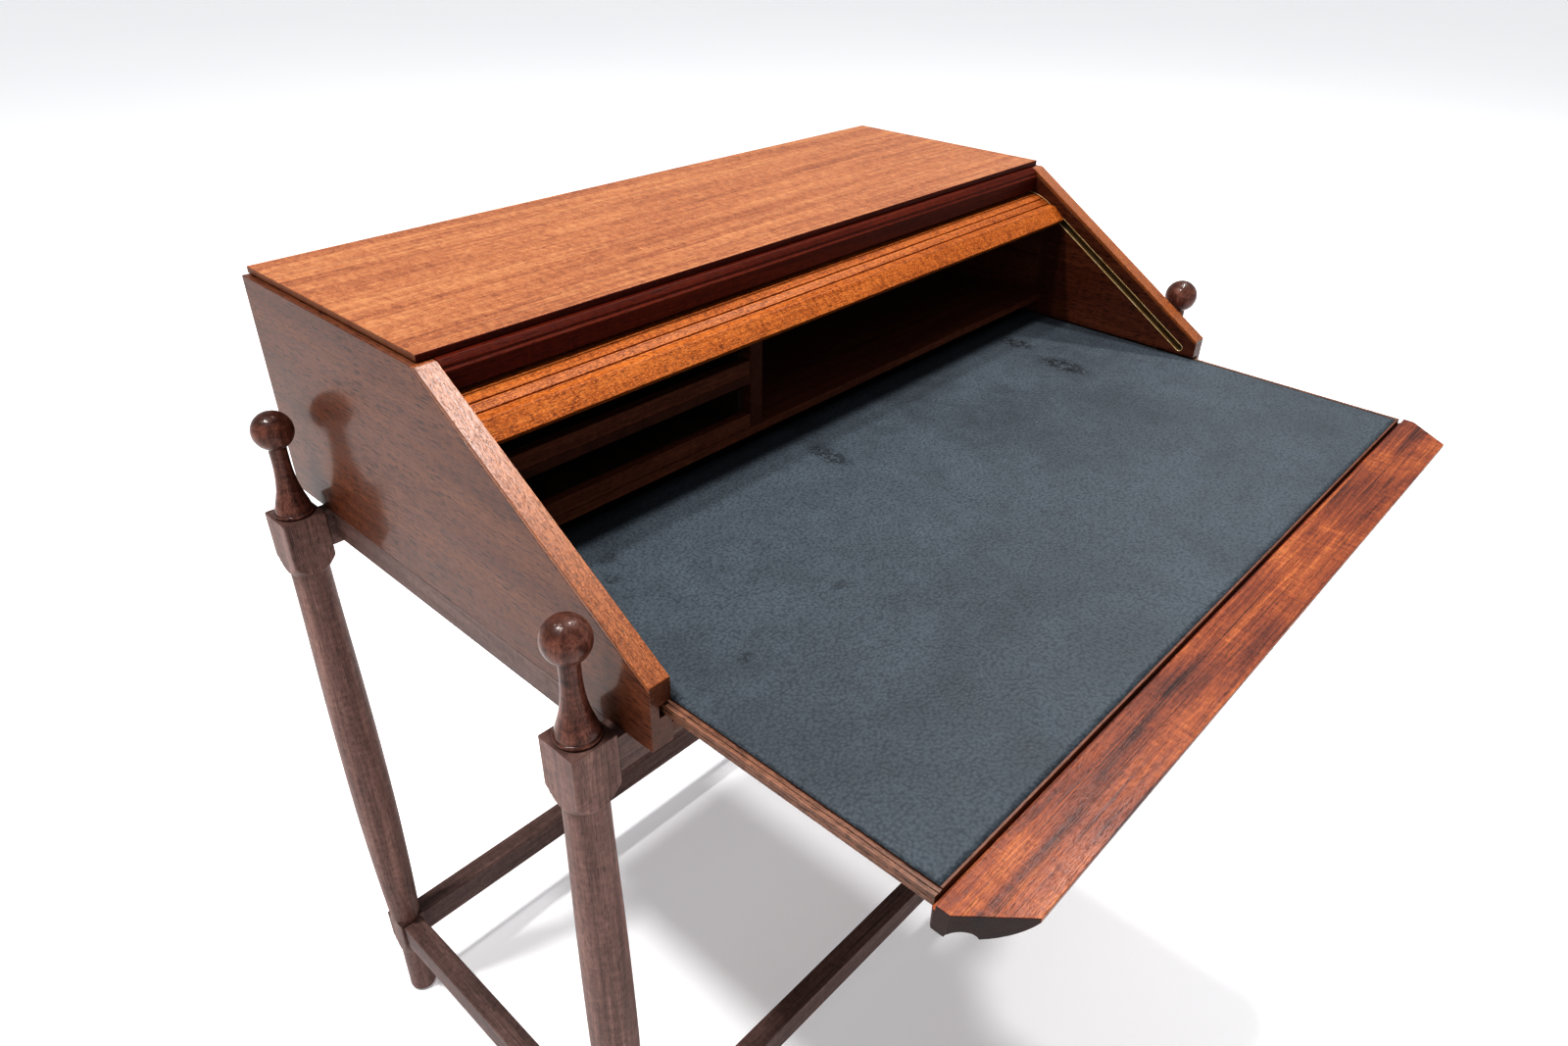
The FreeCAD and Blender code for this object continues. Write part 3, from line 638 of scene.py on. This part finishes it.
def make_case():
    for side in ("left", "right"):
        eased("side_panel_" + side, "side", 0.3 * MM)
        eased("lipping_" + side, "lipping", 0.6 * MM)
        eased("brass_track_" + side, "brass", 0.15 * MM)
    board = eased("top_board", "top", 1.0 * MM, 3)
    # painted shade: the board's faces turned to the front take the rail material's darker wood
    second_material(board, "rail_and_shade", lambda polygon: polygon.normal.y < FRONT_SHADE_FACING)
    eased("top_panel", "case_x")
    eased("top_rail", "rail_and_shade", 0.5 * MM)
    eased("back_panel", "case_x")
    eased("floor_panel", "case_x")


# ---------- roll-top ----------

def make_roll_top():
    eased("roll_top_bar", "roll", 0.7 * MM, 3, 25)
    eased("roll_top_slat_1", "roll", 0.8 * MM)
    eased("roll_top_slats_stored", "roll", 0.8 * MM)
    for node in ("canvas_front", "canvas_stored"):
        eased(node, "canvas", 0.1 * MM)
    make_hidden_slats()
    make_bend_slat()


def track_point(x, along, below):
    """Point on the straight track: along is measured down the slope from the bar's head."""
    return TRACK_HEAD + Vector((x, 0.0, 0.0)) + SLIDE_AXIS * along + INTO_CASE * below


def folded(along):
    """Where a point of the closed roll-top lies when it is folded into the bar at rest."""
    low, high = 0.0, 1.0
    for _ in range(HALVINGS):
        t = (low + high) / 2
        if FOLD_LENGTH * t + ROLL_TRAVEL * t * t * (3.0 - 2.0 * t) < along:
            low = t
        else:
            high = t
    return FOLD_LENGTH * low


def slat_outline():
    """Upper side of the unfolded slats in section: distance down the slope and depth into the case."""
    outline = [(0.0, FOLD_LOW)]
    for k in range(int(ROLL_TRAVEL / SLAT_PITCH) + 1):
        start = k * SLAT_PITCH
        end = start + SLAT_WIDE
        outline += [(start, FOLD_TOP + SLAT_EASE), (start + SLAT_EASE, FOLD_TOP), (end - SLAT_EASE, FOLD_TOP),
                    (end, FOLD_TOP + SLAT_EASE), (end, FOLD_LOW), (start + SLAT_PITCH, FOLD_LOW)]
    return outline


def make_hidden_slats():
    """Slats that lie folded inside the bar at rest."""
    outline = slat_outline()
    count = len(outline)
    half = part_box("roll_top_slat_1")[1].x - SLAT_END_GAP
    rows = [[(x, folded(along), below) for along, below in outline] for x in (-half, half)]
    backs = [[(x, along, FOLD_LOW + FOLD_BACKING) for x, along, _ in row] for row in rows]
    vertices = [track_point(x, FOLD_START + along, below) for row in rows + backs for x, along, below in row]
    faces = []
    for i in range(count - 1):
        left, right, left_back, right_back = (i + k * count for k in range(4))
        faces += [(left, left + 1, right + 1, right), (left_back, right_back, right_back + 1, left_back + 1),
                  (left, left_back, left_back + 1, left + 1), (right, right + 1, right_back + 1, right_back)]
    last = count - 1
    faces += [(0, count, 3 * count, 2 * count), (last, last + 2 * count, last + 3 * count, last + count)]
    hidden = piece_from("roll_top_slats_hidden", vertices, faces, "roll")
    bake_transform(hidden)


def make_bend_slat():
    """Slat that stays at the bend and shows once the first slat has moved; at rest it is inside that one."""
    low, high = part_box("roll_top_slat_1")
    centre = (low + high) / 2
    mesh = NODES["roll_top_slat_1"].data
    vertices = [centre + (v.co - centre) * BEND_SHRINK for v in mesh.vertices]
    faces = [tuple(polygon.vertices) for polygon in mesh.polygons]
    slat = piece_from("roll_top_slat_bend", vertices, faces, "roll")
    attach(slat, "stand")


# ---------- writing slide ----------

def make_writing_slide():
    eased("writing_board", "case_x", 0.4 * MM)
    eased("writing_edge_left", "edge", 0.4 * MM)
    eased("writing_edge_right", "edge", 0.4 * MM)
    eased("pull_rail", "pull", 1.0 * MM, 3, 30)
    make_leather()


def make_leather():
    """Leather panel with soft edges and a slight lie of its own."""
    low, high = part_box("writing_leather")
    columns, rows = LEATHER_CELLS
    vertices = []
    for j in range(rows + 1):
        for i in range(columns + 1):
            x = low.x + (high.x - low.x) * i / columns
            y = low.y + (high.y - low.y) * j / rows
            edge = min(i, columns - i, j, rows - j)
            lie = noise.noise(Vector((x * LEATHER_LIE_SCALE, y * LEATHER_LIE_SCALE, 0.3))) * LEATHER_LIE
            roll_off = LEATHER_ROLL_OFF if edge == 0 else 0.0
            vertices.append((x, y, high.z - LEATHER_SUNK + lie - roll_off))
    width = columns + 1
    faces = [(j * width + i, j * width + i + 1, (j + 1) * width + i + 1, (j + 1) * width + i)
             for j in range(rows) for i in range(columns)]
    obj = piece_from("leather_shown", vertices, faces, "leather", 60)
    solid = obj.modifiers.new("thickness", "SOLIDIFY")
    solid.thickness = LEATHER_THICK
    solid.offset = -1.0
    apply_modifiers(obj)
    return stand_for(obj, "writing_leather")


# ---------- pigeon-hole unit ----------

def make_unit():
    for node in ("unit_shelf", "unit_lid", "unit_back"):
        eased(node, "unit_x", 0.5 * MM)
    for node in ("unit_end_left", "unit_end_right", "unit_divider", "unit_mid_shelf"):
        eased(node, "unit_y", 0.5 * MM)
    for drawer in ("drawer_lower", "drawer_upper"):
        eased(drawer + "_front", "unit_x", 0.6 * MM)
        # the drawer linings carry painted shade
        for part in ("side_left", "side_right", "back", "floor"):
            eased(drawer + "_" + part, "shaded_lining", 0.5 * MM)


# ---------- stage ----------

def make_floor():
    """Plain round floor, wide enough to fill the view."""
    mesh = bpy.data.meshes.new("stage_floor")
    bm = bmesh.new()
    bmesh.ops.create_circle(bm, cap_ends=True, segments=96, radius=FLOOR_RADIUS)
    bm.to_mesh(mesh)
    bm.free()
    floor = bpy.data.objects.new("stage_floor", mesh)
    bpy.context.scene.collection.objects.link(floor)
    mesh.materials.append(glowing_floor())


def add_lamp(name, x, y, watts):
    """Round soft lamp at ceiling height, shining straight down."""
    light = bpy.data.lights.new(name, "AREA")
    light.shape = "DISK"
    light.size = LAMP_WIDE
    light.energy = watts
    obj = bpy.data.objects.new(name, light)
    obj.location = (x, y, CEILING)
    bpy.context.scene.collection.objects.link(obj)


def make_world():
    """White room: bright walls near the horizon and a dimmer ceiling."""
    world = bpy.data.worlds.new("studio")
    world.use_nodes = True
    tree = world.node_tree
    direction = tree.nodes.new("ShaderNodeTexCoord")
    parts = tree.nodes.new("ShaderNodeSeparateXYZ")
    level = tree.nodes.new("ShaderNodeMapRange")
    level.interpolation_type = "SMOOTHSTEP"
    for key, value in (("From Min", 0.0), ("From Max", WALL_FADE), ("To Min", WALL_LIGHT),
                       ("To Max", CEILING_LIGHT)):
        level.inputs[key].default_value = value
    tree.links.new(direction.outputs["Generated"], parts.inputs["Vector"])
    tree.links.new(parts.outputs["Z"], level.inputs["Value"])
    background = tree.nodes["Background"]
    background.inputs["Color"].default_value = (0.975, 0.985, 1.0, 1.0)
    tree.links.new(level.outputs["Result"], background.inputs["Strength"])
    bpy.context.scene.world = world


def make_lights():
    make_world()
    for name, x, y, watts in LAMPS:
        add_lamp(name, x, y, watts)


def make_camera():
    forward = Vector((math.sin(CAMERA_YAW) * math.cos(CAMERA_PITCH),
                      math.cos(CAMERA_YAW) * math.cos(CAMERA_PITCH), -math.sin(CAMERA_PITCH)))
    level = Vector((math.cos(CAMERA_YAW), -math.sin(CAMERA_YAW), 0.0))
    upright = level.cross(forward)
    right = level * math.cos(CAMERA_ROLL) + upright * math.sin(CAMERA_ROLL)
    up = upright * math.cos(CAMERA_ROLL) - level * math.sin(CAMERA_ROLL)
    data = bpy.data.cameras.new("camera")
    data.sensor_width = 36.0
    data.lens = CAMERA_LENS
    data.clip_start = 0.01
    data.clip_end = 100.0
    camera = bpy.data.objects.new("camera", data)
    basis = Matrix((right, up, -forward)).transposed().to_4x4()
    camera.matrix_world = Matrix.Translation(CAMERA_AT) @ basis
    bpy.context.scene.collection.objects.link(camera)
    bpy.context.scene.camera = camera


make_frame()
make_case()
make_roll_top()
make_writing_slide()
make_unit()
make_floor()
make_lights()
make_camera()
bpy.context.scene.view_settings.view_transform = "Standard"
bpy.context.scene.view_settings.look = "High Contrast"
